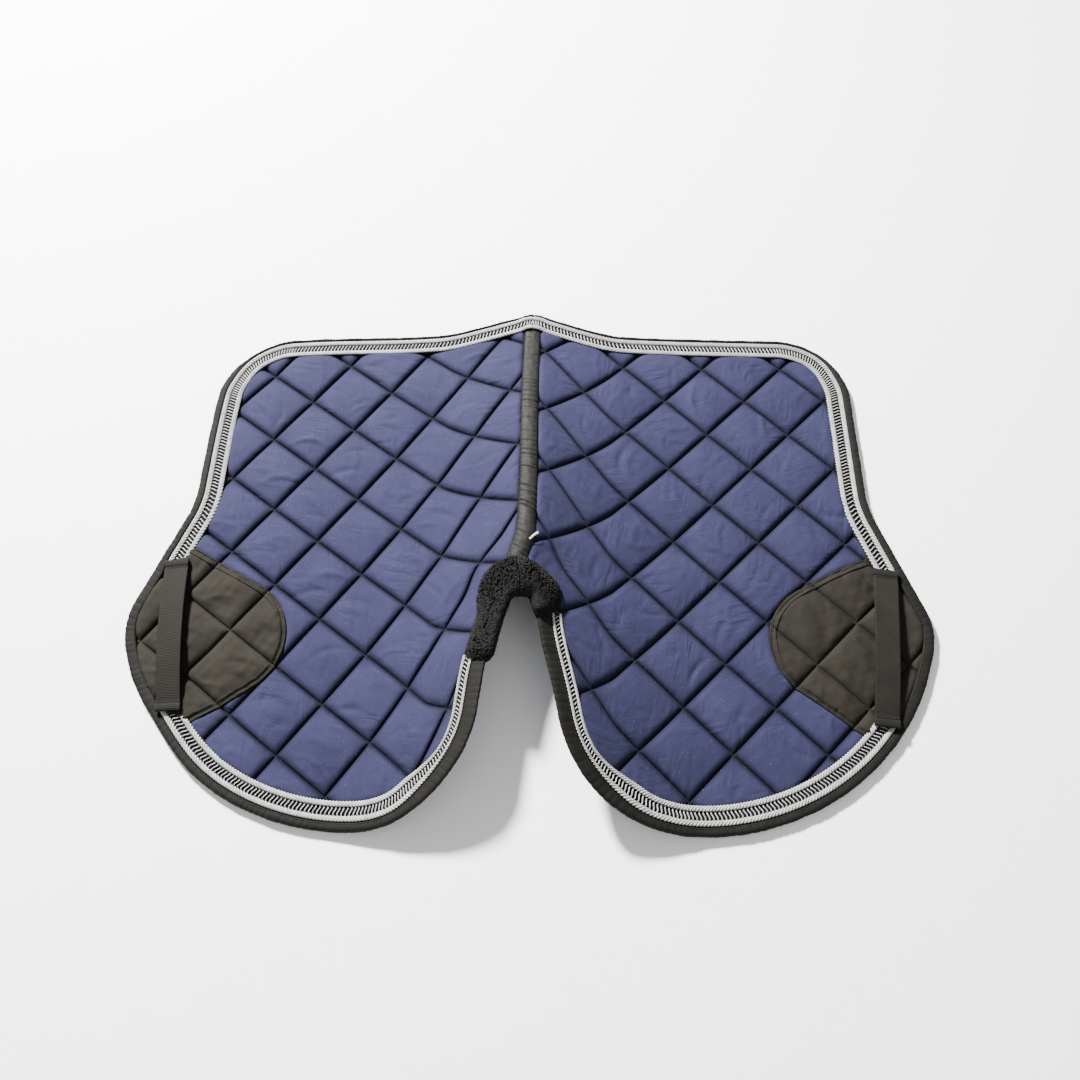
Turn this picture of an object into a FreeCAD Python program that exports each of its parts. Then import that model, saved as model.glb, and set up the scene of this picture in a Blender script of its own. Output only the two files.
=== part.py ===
"""Contoured jumping saddle pad, laid open with its lining down.

The pad is two quilted side panels joined along a raised spine. Its front points to -Y, the horse's left side
is +X, +Z is up, and the origin is on the mid-plane under the middle of the pad, on the surface that it lies on.
Every layer follows one base surface, the underside of the lining: flat beyond RIDGE_REACH from the spine, and
rising from there as a parabola to a ridge, which climbs towards the withers.

Millimetres. Writes one STEP per sub-part to parts/.
"""

import FreeCAD, Part
import math
import os

from FreeCAD import Vector

# ---- driving dimensions -------------------------------------------------------------------------------------

HALF_LENGTH = 354.0  # from the middle of the pad to its rear peak, and to the bottom of the flaps
RIDGE_REACH = 224.0  # distance from the spine at which a panel lies flat
RIDGE_HEIGHT = 66.0  # height of the base surface's ridge above the ground at y = 0
RIDGE_CLIMB = 0.156  # how much the ridge rises for each millimetre towards the withers

SPINE_HALF_WIDTH = 10.0  # half the strip that the two panels fold on
HINGE_X = 16.0  # distance of each fold line from the mid-plane, and each panel's inner face
PANEL_PATCH_Y = 380.0  # half length of the base surface, past the ends of the pad
PANEL_OUTER_X = 520.0  # end of the base surface, past the pad's sides

LINING_TOP = 1.0  # heights of the layers above the base surface
WADDING_TOP = 8.0
COVER_TOP = 9.0
BINDING_WALL = 1.2
BINDING_WIDTH = 10.0
BINDING_FOLD = 1.0  # thickness of the binding's flat turns
TAPE_TOP = 9.6  # the spine tape stands a little above the covers

CORD_WIDTH = 8.0
LADDER_WIDTH = 8.0
CORD_HEIGHT = 5.0
LADDER_HEIGHT = 2.5
TRIM_START_X = 30.0  # where each panel's trim starts beside the spine
TRIM_REAR_END_Y = -25.8  # the rear run stops at the girth strap's upper end
TRIM_FLAP_START_Y = -233.2  # the flap run starts at the strap's lower end

QUILT_SQUARE = 76.0  # side of the quilting's squares, which stand on their corners
QUILT_TURN = {"left": 0.3, "right": -8.2}  # degrees that each panel's squares are turned outwards at the rear
QUILT_ORIGIN = {"left": (287.0, 329.0), "right": (314.0, 323.0)}  # where two seams cross on each panel
QUILT_SEAMS = 9  # seams drawn each way from the origin
THREAD_WIDTH = 1.2
THREAD_HEIGHT = 0.4

PATCH_TOP = 13.0
PATCH_EDGING_WIDTH = 8.0
PATCH_EDGING_TOP = 13.8

STRAP_WIDTH = 29.0
STRAP_THICKNESS = 1.5
STRAP_TOP_END = (436.0, -28.0)  # middle of the strap's upper end, then of its lower end
STRAP_LOW_END = (411.0, -231.0)
STRAP_TAB = 13.0  # length of the webbing folded under at each end
STRAP_RISE = 8.0  # how far the slack webbing stands off the patch at its middle
STITCH = 0.8  # width of a bar tack
STITCH_HEIGHT = 0.4

FLEECE_OUTSET = 9.0  # how far the fleece stands out over the panel's edge
FLEECE_TOP = 21.0
FLEECE_UNDER = 8.0
FLEECE_START_X = 34.0  # beside the spine the panel's fleece starts here, to clear it when the panel folds up
SPINE_FRONT_Y = -106.0  # past the front end of the spine's own fleece at every fold
FLEECE_FOLD_GAP = 1.5  # and there it starts this far outside the fold line
FLEECE_END_Y = -172.0

SIDES = (("left", 1), ("right", -1))
PARTS = "parts"


# ---- flat shapes --------------------------------------------------------------------------------------------


def rounded_wire(corners):
    """A closed wire through corners (x, y, radius), each corner rounded by a tangent arc of its radius."""
    edges = []
    n = len(corners)
    starts, ends = [], []
    for i, (x, y, r) in enumerate(corners):
        here = Vector(x, y, 0)
        before = Vector(*corners[i - 1][:2], 0) - here
        after = Vector(*corners[(i + 1) % n][:2], 0) - here
        before.normalize()
        after.normalize()
        half = before.getAngle(after) / 2
        run = r / math.tan(half)
        start = here + before * run
        end = here + after * run
        if r > 0:
            bisector = before + after
            bisector.normalize()
            middle = here + bisector * (r / math.sin(half) - r)
            edges.append((i, Part.Arc(start, middle, end).toShape()))
        starts.append(start)
        ends.append(end)
    ordered = []
    arcs = dict(edges)
    for i in range(n):
        if i in arcs:
            ordered.append(arcs[i])
        ordered.append(Part.makeLine(ends[i], starts[(i + 1) % n]))
    return Part.Wire(ordered)


def mirrored_corners(half):
    """Half an outline, from the rear middle round +X to the front, with its mirror image added."""
    return half + [(-x, y, r) for x, y, r in reversed(half) if x > 0]


PEAK_ROUND = 60.0  # radius over the rear end of the spine
PEAK_DROP = 29.0  # how far the rear edge falls from the spine to its straight stretch
SHOULDER_X = 117.0
SIDE_X = 431.0
peak_turn = math.atan(PEAK_DROP / SHOULDER_X)
PEAK_Y = HALF_LENGTH + PEAK_ROUND * (1 / math.cos(peak_turn) - 1)

OUTLINE_HALF = [
    (0.0, PEAK_Y, PEAK_ROUND),  # rear peak on the spine
    (SHOULDER_X, PEAK_Y - PEAK_DROP, 160.0),  # where the rear edge turns straight
    (SIDE_X, 320.0, 98.0),  # rear lower corner
    (SIDE_X, 56.0, 120.0),  # where the side starts to flare
    (491.0, -110.0, 90.0),  # widest point, at the girth
    (410.0, -HALF_LENGTH, 300.0),  # bottom of the flap
    (65.0, -HALF_LENGTH, 147.0),  # front of the flap
    (18.0, -90.0, 15.0),  # top of the wither notch
]


def outline():
    return rounded_wire(mirrored_corners(OUTLINE_HALF))


def grown(distance):
    """The pad's outline moved outwards by distance, or inwards where it is negative, as a face."""
    wire = outline() if distance == 0 else outline().makeOffset2D(distance)
    return Part.Face(wire)


def rectangle(x0, y0, x1, y1):
    return Part.Face(rounded_wire([(x0, y0, 0), (x1, y0, 0), (x1, y1, 0), (x0, y1, 0)]))


def band(inner, outer):
    """The strip of the pad between two distances in from its edge."""
    return grown(-inner).cut(grown(-outer))


# ---- layers on the base surface -----------------------------------------------------------------------------

BELOW, ABOVE = -60.0, 260.0


def ridge(y):
    return RIDGE_HEIGHT - RIDGE_CLIMB * y


def curved_patch(xs, shares):
    """The base surface over three control abscissae, with the share of the ridge's height at each."""
    ys = (-PANEL_PATCH_Y, PANEL_PATCH_Y)
    surface = Part.BezierSurface()
    surface.increase(2, 1)
    for i, (x, share) in enumerate(zip(xs, shares), 1):
        for j, y in enumerate(ys, 1):
            surface.setPole(i, j, Vector(x, y, ridge(y) * share))
    return surface.toShape()


def lifted(face, low, high):
    """The solid between two heights above a face."""
    moved = face.copy()
    moved.translate(Vector(0, 0, low))
    return moved.extrude(Vector(0, 0, high - low))


def panel_slab(low, high):
    """The layer of the left panel between two heights above the base surface, before it is cut to shape."""
    middle = (HINGE_X + RIDGE_REACH) / 2
    share = (1 - HINGE_X / RIDGE_REACH) ** 2
    slope = curved_patch((HINGE_X, middle, RIDGE_REACH), (share, 0, 0))
    size = (PANEL_OUTER_X - RIDGE_REACH, 2 * PANEL_PATCH_Y, high - low)
    flat = Part.makeBox(*size, Vector(RIDGE_REACH, -PANEL_PATCH_Y, low))
    return lifted(slope, low, high).fuse(flat)


def spine_slab(low, high):
    """The layer of the spine strip: its ridge is rounded, and its sides carry the panels' slope on."""
    edge = (1 - SPINE_HALF_WIDTH / RIDGE_REACH) ** 2
    fall = 2 * (1 - SPINE_HALF_WIDTH / RIDGE_REACH) / RIDGE_REACH
    shares = (edge, edge + fall * SPINE_HALF_WIDTH, edge)
    crown = curved_patch((-SPINE_HALF_WIDTH, 0, SPINE_HALF_WIDTH), shares)
    return lifted(crown, low, high)


def prism(face):
    moved = face.copy()
    moved.translate(Vector(0, 0, BELOW))
    return moved.extrude(Vector(0, 0, ABOVE - BELOW))


def piece(face, low, high, slab=panel_slab):
    """The part of a layer inside a flat shape."""
    return slab(low, high).common(prism(face))


def solids(shape):
    return [s for s in shape.Solids if s.Volume > 0.5]


def joined(*pieces):
    shape = pieces[0]
    for other in pieces[1:]:
        shape = shape.fuse(other)
    return shape


# ---- panel layers -------------------------------------------------------------------------------------------


def quilted_cover():
    return piece(grown(-BINDING_WALL), WADDING_TOP, COVER_TOP)


def wadding():
    return piece(grown(-BINDING_WALL), LINING_TOP, WADDING_TOP)


def lining():
    return piece(grown(-BINDING_WIDTH), 0, LINING_TOP)


def edge_binding(slab=panel_slab, under=COVER_TOP):
    """A channel round the free edge: a wall, a turn over the cover and a turn under the wadding."""
    wall = piece(band(0, BINDING_WALL), 0, under + BINDING_FOLD, slab)
    turn = band(BINDING_WALL, BINDING_WIDTH)
    over = piece(turn, under, under + BINDING_FOLD, slab)
    below = piece(turn, 0, LINING_TOP, slab)
    return joined(wall, over, below)


# ---- trim: two cords with a ladder braid between them --------------------------------------------------------

TRIM_STRANDS = (
    ("outer_cord", BINDING_WIDTH, CORD_WIDTH, CORD_HEIGHT),
    ("ladder_braid", BINDING_WIDTH + CORD_WIDTH, LADDER_WIDTH, LADDER_HEIGHT),
    ("inner_cord", BINDING_WIDTH + CORD_WIDTH + LADDER_WIDTH, CORD_WIDTH, CORD_HEIGHT),
)


def rear_run():
    return rectangle(TRIM_START_X, TRIM_REAR_END_Y, PANEL_OUTER_X, PANEL_PATCH_Y)


def flap_run():
    girth_side = rectangle(RIDGE_REACH, -PANEL_PATCH_Y, PANEL_OUTER_X, TRIM_FLAP_START_Y)
    wither_side = rectangle(0, -PANEL_PATCH_Y, RIDGE_REACH, FLEECE_END_Y)
    return girth_side.fuse(wither_side)


def strand(start, width, height, run):
    strip = band(start, start + width).common(run)
    return piece(strip, COVER_TOP, COVER_TOP + height)


# ---- quilting -----------------------------------------------------------------------------------------------


def quilting_thread(side):
    """The two crossing sets of sewn lines on one panel, inside the trim and clear of the patch and fleece."""
    reach = 2 * PANEL_OUTER_X
    seams = []
    for direction in (45.0, 135.0):
        for i in range(-QUILT_SEAMS, QUILT_SEAMS + 1):
            low = i * QUILT_SQUARE - THREAD_WIDTH / 2
            seam = rectangle(-reach, low, reach, low + THREAD_WIDTH)
            seam.rotate(Vector(0, 0, 0), Vector(0, 0, 1), direction + QUILT_TURN[side])
            seam.translate(Vector(*QUILT_ORIGIN[side], 0))
            seams.append(seam)
    trim_width = sum(width for name, start, width, height in TRIM_STRANDS)
    field = grown(-BINDING_WIDTH - trim_width)
    field = field.common(rectangle(HINGE_X, -PANEL_PATCH_Y, PANEL_OUTER_X, PANEL_PATCH_Y))
    field = field.cut(patch_outline(0)).cut(fleece_shape(0))
    net = seams[0].multiFuse(seams[1:]).common(field).removeSplitter()
    return piece(net, COVER_TOP, COVER_TOP + THREAD_HEIGHT)


# ---- girth patch and strap ----------------------------------------------------------------------------------

PATCH_CORNERS = [
    (560.0, 68.0, 0.0),
    (227.0, -117.0, 77.0),  # rounded nose, towards the spine
    (520.0, -343.0, 0.0),
    (560.0, -343.0, 0.0),
]


def patch_outline(inset):
    wire = rounded_wire(PATCH_CORNERS)
    return Part.Face(wire if inset == 0 else wire.makeOffset2D(-inset))


def clear_of_trim(face):
    """The patch reaches the binding, and stops where the trim's two runs end."""
    inside = face.common(grown(-BINDING_WIDTH))
    for name, start, width, height in TRIM_STRANDS:
        strip = band(start, start + width)
        inside = inside.cut(strip.common(rear_run())).cut(strip.common(flap_run()))
    return inside


def girth_patch():
    return piece(clear_of_trim(patch_outline(PATCH_EDGING_WIDTH)), COVER_TOP, PATCH_TOP)


def patch_edging():
    ring = patch_outline(0).cut(patch_outline(PATCH_EDGING_WIDTH))
    return piece(clear_of_trim(ring), COVER_TOP, PATCH_EDGING_TOP)


def on_strap(shape):
    """Places a shape drawn along +X from the origin so that it runs from the strap's upper end to its lower."""
    top, low = Vector(*STRAP_TOP_END, 0), Vector(*STRAP_LOW_END, 0)
    run = low - top
    angle = math.degrees(math.atan2(run.y, run.x))
    placed = shape.copy()
    placed.rotate(Vector(0, 0, 0), Vector(0, 0, 1), angle)
    placed.translate(top)
    return placed


def strap_length():
    return (Vector(*STRAP_LOW_END, 0) - Vector(*STRAP_TOP_END, 0)).Length


def strap_line(z):
    """The strap's run seen from its edge: flat on each folded end, arched between them."""
    length = strap_length()
    points = [Vector(0, 0, z), Vector(STRAP_TAB, 0, z)]
    points += [Vector(length / 2, 0, z + STRAP_RISE), Vector(length - STRAP_TAB, 0, z), Vector(length, 0, z)]
    arch = Part.Arc(points[1], points[2], points[3]).toShape()
    return [Part.makeLine(points[0], points[1]), arch, Part.makeLine(points[3], points[4])]


def girth_strap():
    low = PATCH_TOP + STRAP_THICKNESS
    under, over = strap_line(low), strap_line(low + STRAP_THICKNESS)
    length = strap_length()
    ends = [Part.makeLine(Vector(x, 0, low), Vector(x, 0, low + STRAP_THICKNESS)) for x in (0, length)]
    profile = Part.Face(Part.Wire(Part.__sortEdges__(under + over + ends)))
    profile.translate(Vector(0, -STRAP_WIDTH / 2, 0))
    return on_strap(profile.extrude(Vector(0, STRAP_WIDTH, 0)))


def strap_fold(start):
    size = (STRAP_TAB, STRAP_WIDTH, STRAP_THICKNESS)
    return on_strap(Part.makeBox(*size, Vector(start, -STRAP_WIDTH / 2, PATCH_TOP)))


def strap_stitching():
    """Two bar tacks across each end of the strap."""
    top = PATCH_TOP + 2 * STRAP_THICKNESS
    inset = 2.0
    size = (STITCH, STRAP_WIDTH - 2 * inset, STITCH_HEIGHT)
    far = strap_length() - STRAP_TAB
    places = [base + offset for base in (0, far) for offset in (inset, STRAP_TAB - inset - STITCH)]
    return Part.makeCompound(
        [on_strap(Part.makeBox(*size, Vector(x, -STRAP_WIDTH / 2 + inset, top))) for x in places]
    )


# ---- wither fleece ------------------------------------------------------------------------------------------

FLEECE_CORNERS = [
    (0.0, -51.0, 0.0),
    (29.0, -51.0, 22.0),
    (47.0, -112.0, 60.0),
    (53.0, FLEECE_END_Y, 0.0),
    (0.0, FLEECE_END_Y, 0.0),
]


def fleece_shape(outset):
    return Part.Face(rounded_wire(FLEECE_CORNERS)).common(grown(outset))


def wither_fleece():
    """A thick channel over the front edge of one panel, down from beside the spine."""
    beside_spine = rectangle(FLEECE_START_X, SPINE_FRONT_Y, PANEL_OUTER_X, PANEL_PATCH_Y)
    past_spine = rectangle(HINGE_X + FLEECE_FOLD_GAP, -PANEL_PATCH_Y, PANEL_OUTER_X, SPINE_FRONT_Y)
    side = beside_spine.fuse(past_spine).removeSplitter()
    whole = piece(fleece_shape(FLEECE_OUTSET).common(side), -FLEECE_UNDER, FLEECE_TOP)
    inside = piece(fleece_shape(0), 0, COVER_TOP + BINDING_FOLD)
    return whole.cut(inside)


# ---- spine --------------------------------------------------------------------------------------------------

FLEECE_BRIDGE_TOP = 13.0
FLEECE_BRIDGE_UNDER = 4.0
LABEL_LENGTH, LABEL_WIDTH, LABEL_THICKNESS = 8.0, 2.4, 1.0  # a small folded label, blank
LABEL_X, LABEL_Y = 2.0, -42.0


def rear_half():
    return rectangle(-PANEL_OUTER_X, 0, PANEL_OUTER_X, PANEL_PATCH_Y)


def spine_pieces():
    """The strip between the two fold lines, with the stretches of binding, trim and fleece that cross it."""
    core = grown(-BINDING_WALL)
    binding = edge_binding(spine_slab, TAPE_TOP)
    trims = [
        piece(band(start, start + width).common(rear_half()), TAPE_TOP, TAPE_TOP + height, spine_slab)
        for name, start, width, height in TRIM_STRANDS
    ]
    fleece = piece(fleece_shape(FLEECE_OUTSET), -FLEECE_BRIDGE_UNDER, FLEECE_BRIDGE_TOP, spine_slab)
    mirrored = fleece.mirror(Vector(0, 0, 0), Vector(1, 0, 0))
    inside = piece(grown(0), 0, TAPE_TOP + BINDING_FOLD, spine_slab)
    label = rectangle(LABEL_X, LABEL_Y, LABEL_X + LABEL_LENGTH, LABEL_Y + LABEL_WIDTH)
    return {
        "spine_wadding": piece(core, LINING_TOP, WADDING_TOP, spine_slab),
        "spine_tape": piece(core, WADDING_TOP, TAPE_TOP, spine_slab),
        "spine_lining_tape": piece(grown(-BINDING_WIDTH), 0, LINING_TOP, spine_slab),
        "spine_edge_binding": binding,
        "spine_trim": Part.makeCompound([s for trim in trims for s in solids(trim)]),
        "spine_fleece": fleece.fuse(mirrored).cut(inside),
        "seam_label": piece(label, TAPE_TOP, TAPE_TOP + LABEL_THICKNESS, spine_slab),
    }


# ---- assembly -----------------------------------------------------------------------------------------------


def panel_pieces():
    """Every layer and fitting that the two panels have alike, drawn on the left panel."""
    length = strap_length()
    made = {
        "quilted_cover": quilted_cover(),
        "wadding": wadding(),
        "lining": lining(),
        "edge_binding": edge_binding(),
        "girth_patch": girth_patch(),
        "girth_patch_edging": patch_edging(),
        "girth_strap": girth_strap(),
        "girth_strap_upper_fold": strap_fold(0),
        "girth_strap_lower_fold": strap_fold(length - STRAP_TAB),
        "girth_strap_stitching": strap_stitching(),
        "wither_fleece": wither_fleece(),
    }
    for run_name, run in (("rear", rear_run()), ("flap", flap_run())):
        for name, start, width, height in TRIM_STRANDS:
            made[f"{run_name}_{name}"] = strand(start, width, height, run)
    return made


def write(name, shape):
    kept = solids(shape)
    shape = kept[0] if len(kept) == 1 else Part.makeCompound(kept)
    shape.exportStep(f"{PARTS}/{name}.step")
    box = shape.BoundBox
    print(f"{name:34s} solids {len(kept)} valid {shape.isValid()} volume {shape.Volume / 1000:9.2f} cm3 "
          f"x {box.XMin:.1f}..{box.XMax:.1f} y {box.YMin:.1f}..{box.YMax:.1f} z {box.ZMin:.1f}..{box.ZMax:.1f}")


def main():
    os.makedirs(PARTS, exist_ok=True)
    for name, shape in spine_pieces().items():
        write(name, shape)
    panel = panel_pieces()
    for side, sign in SIDES:
        thread = {"quilting_thread": quilting_thread(side)}
        for name, shape in (panel | thread).items():
            placed = shape if sign > 0 else shape.mirror(Vector(0, 0, 0), Vector(1, 0, 0))
            write(f"{side}_{name}", placed)


main()
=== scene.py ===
"""The look of the contoured saddle pad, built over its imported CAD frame.

Shapes are worked out in millimetres, on the left panel (+X), and mirrored for the right one. A flat point is
lifted by placed(): the base surface is the underside of the lining, and a height is measured up from it.
Places near the pad's edge are given by the distance round the outline and the depth in from it.
"""

import math

import bpy
import numpy as np
from mathutils import Matrix, Vector
from mathutils.kdtree import KDTree

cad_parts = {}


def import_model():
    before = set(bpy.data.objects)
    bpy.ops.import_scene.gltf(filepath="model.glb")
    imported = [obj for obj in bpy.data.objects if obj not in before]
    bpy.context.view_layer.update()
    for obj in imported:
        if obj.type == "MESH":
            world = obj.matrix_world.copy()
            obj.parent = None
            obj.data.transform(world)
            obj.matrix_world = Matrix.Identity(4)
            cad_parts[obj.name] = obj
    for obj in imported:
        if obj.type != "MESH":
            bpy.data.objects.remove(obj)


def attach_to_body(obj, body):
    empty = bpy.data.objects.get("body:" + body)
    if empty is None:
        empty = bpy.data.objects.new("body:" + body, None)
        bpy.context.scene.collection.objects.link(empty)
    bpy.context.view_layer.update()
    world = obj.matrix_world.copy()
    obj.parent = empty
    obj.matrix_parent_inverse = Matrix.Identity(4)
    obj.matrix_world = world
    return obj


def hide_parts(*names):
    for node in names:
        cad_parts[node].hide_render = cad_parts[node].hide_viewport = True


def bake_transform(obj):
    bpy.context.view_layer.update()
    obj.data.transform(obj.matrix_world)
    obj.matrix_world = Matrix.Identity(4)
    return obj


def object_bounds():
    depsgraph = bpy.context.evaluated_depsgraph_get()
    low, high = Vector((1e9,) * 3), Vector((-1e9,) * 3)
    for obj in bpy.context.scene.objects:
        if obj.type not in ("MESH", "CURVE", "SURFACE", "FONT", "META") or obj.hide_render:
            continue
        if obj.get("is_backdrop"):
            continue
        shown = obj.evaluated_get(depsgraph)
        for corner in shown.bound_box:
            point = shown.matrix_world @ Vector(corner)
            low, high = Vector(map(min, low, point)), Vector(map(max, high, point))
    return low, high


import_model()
cad_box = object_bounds()

MM = 0.001
SIDES = {"left": 1, "right": -1}

# ---- driving dimensions, the same as the part's, in millimetres ----

HALF_LENGTH = 354.0
RIDGE_REACH = 224.0
RIDGE_HEIGHT = 66.0
RIDGE_CLIMB = 0.156
SPINE_HALF_WIDTH = 10.0
PEAK_Y = 355.8
OUTLINE_HALF = [
    (0.0, PEAK_Y, 60.0),
    (117.0, PEAK_Y - 29.0, 160.0),
    (431.0, 320.0, 98.0),
    (431.0, 56.0, 120.0),
    (491.0, -110.0, 90.0),
    (410.0, -HALF_LENGTH, 300.0),
    (65.0, -HALF_LENGTH, 147.0),
    (18.0, -90.0, 15.0),
]
PATCH_CORNERS = [(560.0, 68.0, 0.0), (227.0, -117.0, 77.0), (520.0, -343.0, 0.0), (560.0, -343.0, 0.0)]
QUILT_SQUARE = 76.0
QUILT_TURN = {"left": 0.3, "right": -8.2}
QUILT_ORIGIN = {"left": (287.0, 329.0), "right": (314.0, 323.0)}
BINDING_WIDTH = 10.0
TRIM_WIDTH = 24.0
TRIM_REAR_END_Y = -25.8
TRIM_FLAP_START_Y = -233.2
STRAP_TOP_END = (436.0, -28.0)
STRAP_LOW_END = (411.0, -231.0)
STRAP_WIDTH = 29.0
STRAP_TAB = 13.0
STRAP_RISE = 8.0
FLEECE_OUTSET = 9.0

# ---- values of the look's own ----

TAPE_HALF_WIDTH = 13.0
BLEND_START, BLEND_END = SPINE_HALF_WIDTH, 30.0  # the span beside the spine where cloth goes from the spine onto a panel


def smooth(t):
    t = np.clip(t, 0, 1)
    return t * t * (3 - 2 * t)


def circle(count):
    return np.linspace(0, math.tau, count, endpoint=False)


def stacked(*values):
    return np.stack(np.broadcast_arrays(*values), -1)


def unit(vectors):
    return vectors / np.linalg.norm(vectors, axis=-1, keepdims=True)


# ---- flat outlines ----


def rounded(corners):
    """Points closely round a closed outline of corners (x, y, radius), each rounded by a tangent arc."""
    places = np.array([corner[:2] for corner in corners])
    line = []
    for i, here in enumerate(places):
        radius = corners[i][2]
        back = places[i - 1] - here
        onward = places[(i + 1) % len(corners)] - here
        back /= np.linalg.norm(back)
        onward /= np.linalg.norm(onward)
        half = math.acos(back @ onward) / 2
        if radius == 0:
            line.append(here)
            continue
        middle = (back + onward) / np.linalg.norm(back + onward)
        centre = here + middle * radius / math.sin(half)
        start = here + back * radius / math.tan(half) - centre
        end = here + onward * radius / math.tan(half) - centre
        first = math.atan2(start[1], start[0])
        sweep = math.remainder(math.atan2(end[1], end[0]) - first, math.tau)
        for angle in first + sweep * np.linspace(0, 1, 60):
            line.append(centre + radius * np.array([math.cos(angle), math.sin(angle)]))
    return np.array(line)


class Edge:
    """A closed outline, with the direction inwards at each of its points."""

    def __init__(self, corners, step=2.0):
        line = rounded(corners)
        line = np.vstack([line, line[:1]])
        run = np.concatenate([[0], np.cumsum(np.linalg.norm(np.diff(line, axis=0), axis=1))])
        self.length = run[-1]
        self.run = np.arange(0, self.length, step)
        self.points = np.stack([np.interp(self.run, run, line[:, k]) for k in (0, 1)], 1)
        ahead = unit(np.roll(self.points, -1, 0) - np.roll(self.points, 1, 0))
        x, y = self.points.T
        turn = np.sign(np.sum(x * np.roll(y, -1) - np.roll(x, -1) * y))
        self.inward = np.stack([-ahead[:, 1], ahead[:, 0]], 1) * turn
        self.tree = KDTree(len(self.points))
        for i, (x, y) in enumerate(self.points.tolist()):
            self.tree.insert((x, y, 0), i)
        self.tree.balance()

    def between(self, values, run):
        return [np.interp(run, self.run, values[:, k], period=self.length) for k in (0, 1)]

    def facing(self, run):
        """The x and y of the direction inwards at a distance round the outline."""
        return self.between(self.inward, run)

    def at(self, run, depth):
        """The flat x and y at a distance round the outline and a depth in from it."""
        pairs = zip(self.between(self.points, run), self.facing(run))
        return [place + inward * depth for place, inward in pairs]

    def nearest(self, x, y):
        """How far in from the outline flat points are, and the distance round it of the nearest point."""
        places = np.stack([np.ravel(x), np.ravel(y)], 1)
        picked = np.array([self.tree.find((*place, 0))[1] for place in places.tolist()])
        depth = ((places - self.points[picked]) * self.inward[picked]).sum(1)
        return depth.reshape(np.shape(x)), self.run[picked].reshape(np.shape(x))

    def first(self, found):
        """The distance round the outline of the first point where found(x, y) is true."""
        return self.run[np.argmax(found(*self.points.T))]

    def middle(self, y):
        """The distance round the outline of its place on the mid-plane nearest to y."""
        x = self.points[:, 0]
        after = np.roll(x, -1)
        crossing = np.flatnonzero(x * after <= 0)
        i = crossing[np.argmin(np.abs(self.points[crossing, 1] - y))]
        return self.run[i] + (self.run[1] - self.run[0]) * x[i] / (x[i] - after[i])


def mirrored(half):
    return half + [(-x, y, radius) for x, y, radius in reversed(half) if x > 0]


pad_edge = Edge(mirrored(OUTLINE_HALF))
patch_edge = Edge(PATCH_CORNERS)
# distances round the pad's edge, from the place where the outline starts beside the rear peak
REAR_PEAK = pad_edge.middle(HALF_LENGTH)
NOTCH_TOP = pad_edge.middle(-90)
REAR_END = pad_edge.first(lambda x, y: (x > 300) & (y < TRIM_REAR_END_Y))
FLAP_START = pad_edge.first(lambda x, y: (x > 300) & (y < TRIM_FLAP_START_Y))
FLEECE_FRONT_Y = {"left": -124.0, "right": -178.0}
FLEECE_RUN = {
    side: pad_edge.first(lambda x, y: (x > 0) & (x < 120) & (y < -90) & (y > front))
    for side, front in FLEECE_FRONT_Y.items()
}


def binding_width(run):
    """The binding's turn over the cover: narrower along the rear, and wider at the girth and the notch."""
    across, along = pad_edge.facing(run)
    rear = smooth((-along - 0.3) / 0.5)
    notch = smooth((across - 0.3) / 0.5)
    girth = smooth((run - REAR_END + 8) / 25) * smooth((FLAP_START + 8 - run) / 25)
    return BINDING_WIDTH - 4.0 * rear + 6.0 * notch + 3.5 * girth


def trim_scale(run):
    """The trim is narrower beside the notch, as if the cloth turned up steeply there."""
    return 1 - 0.48 * smooth((pad_edge.facing(run)[0] - 0.5) / 0.4)


# ---- the base surface, and how the pad lies ----


def ridge(y):
    return RIDGE_HEIGHT - RIDGE_CLIMB * y


def base_height(x, y):
    """Height of the lining's underside: a slope up to the ridge, which is rounded over the spine."""
    away = np.abs(x)
    edge = (1 - SPINE_HALF_WIDTH / RIDGE_REACH) ** 2
    fall = 2 * (1 - SPINE_HALF_WIDTH / RIDGE_REACH) / RIDGE_REACH
    crown = edge + fall * SPINE_HALF_WIDTH * (1 - (away / SPINE_HALF_WIDTH) ** 2) / 2
    slope = np.clip(1 - away / RIDGE_REACH, 0, 1) ** 2
    return ridge(y) * np.where(away < SPINE_HALF_WIDTH, crown, slope)


LAY_SHIFT = 8.5  # the panels lie a little askew on the ground: both are shifted to +X
LAY_TURN = 0.0172  # and turned anticlockwise, in radians
LAY_SPREAD = 0.011  # and spread a little wider


def spine_sway(y):
    """The ridge wanders to +X on its way to the withers, and back for a moment where it meets the fleece."""
    return 2.0 + 4.5 * smooth((300 - y) / 260) - 7.5 * smooth((-6 - y) / 46) + 8.5 * smooth((-54 - y) / 40)


NUDGES = [  # (x, y, move along x, move along y, reach): where the cloth lies a little off its pattern
    (-400.0, 300.0, 6.0, -5.0, 80.0),
    (-420.0, -231.0, -1.0, 10.0, 55.0),
    (440.0, -28.0, 2.0, -6.0, 50.0),
    (0.0, 352.0, 0.0, 4.0, 60.0),
    (32.0, -135.0, -6.5, 0.0, 60.0),
    (-58.0, -175.0, -5.5, 0.0, 60.0),
]


def laid(x, y):
    """Where a flat point comes to lie on the ground."""
    share = smooth((np.abs(x) - 28) / 150)
    sway = spine_sway(y) * smooth(1 - (np.abs(x) - 20) / 110)
    across = x + sway + (LAY_SHIFT - LAY_TURN * y + LAY_SPREAD * x) * share
    along = y + LAY_TURN * x * share
    for near_x, near_y, move_x, move_y, reach in NUDGES:
        near = np.exp(-((x - near_x) ** 2 + (y - near_y) ** 2) / reach**2)
        across = across + move_x * near
        along = along + move_y * near
    return across, along


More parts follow.
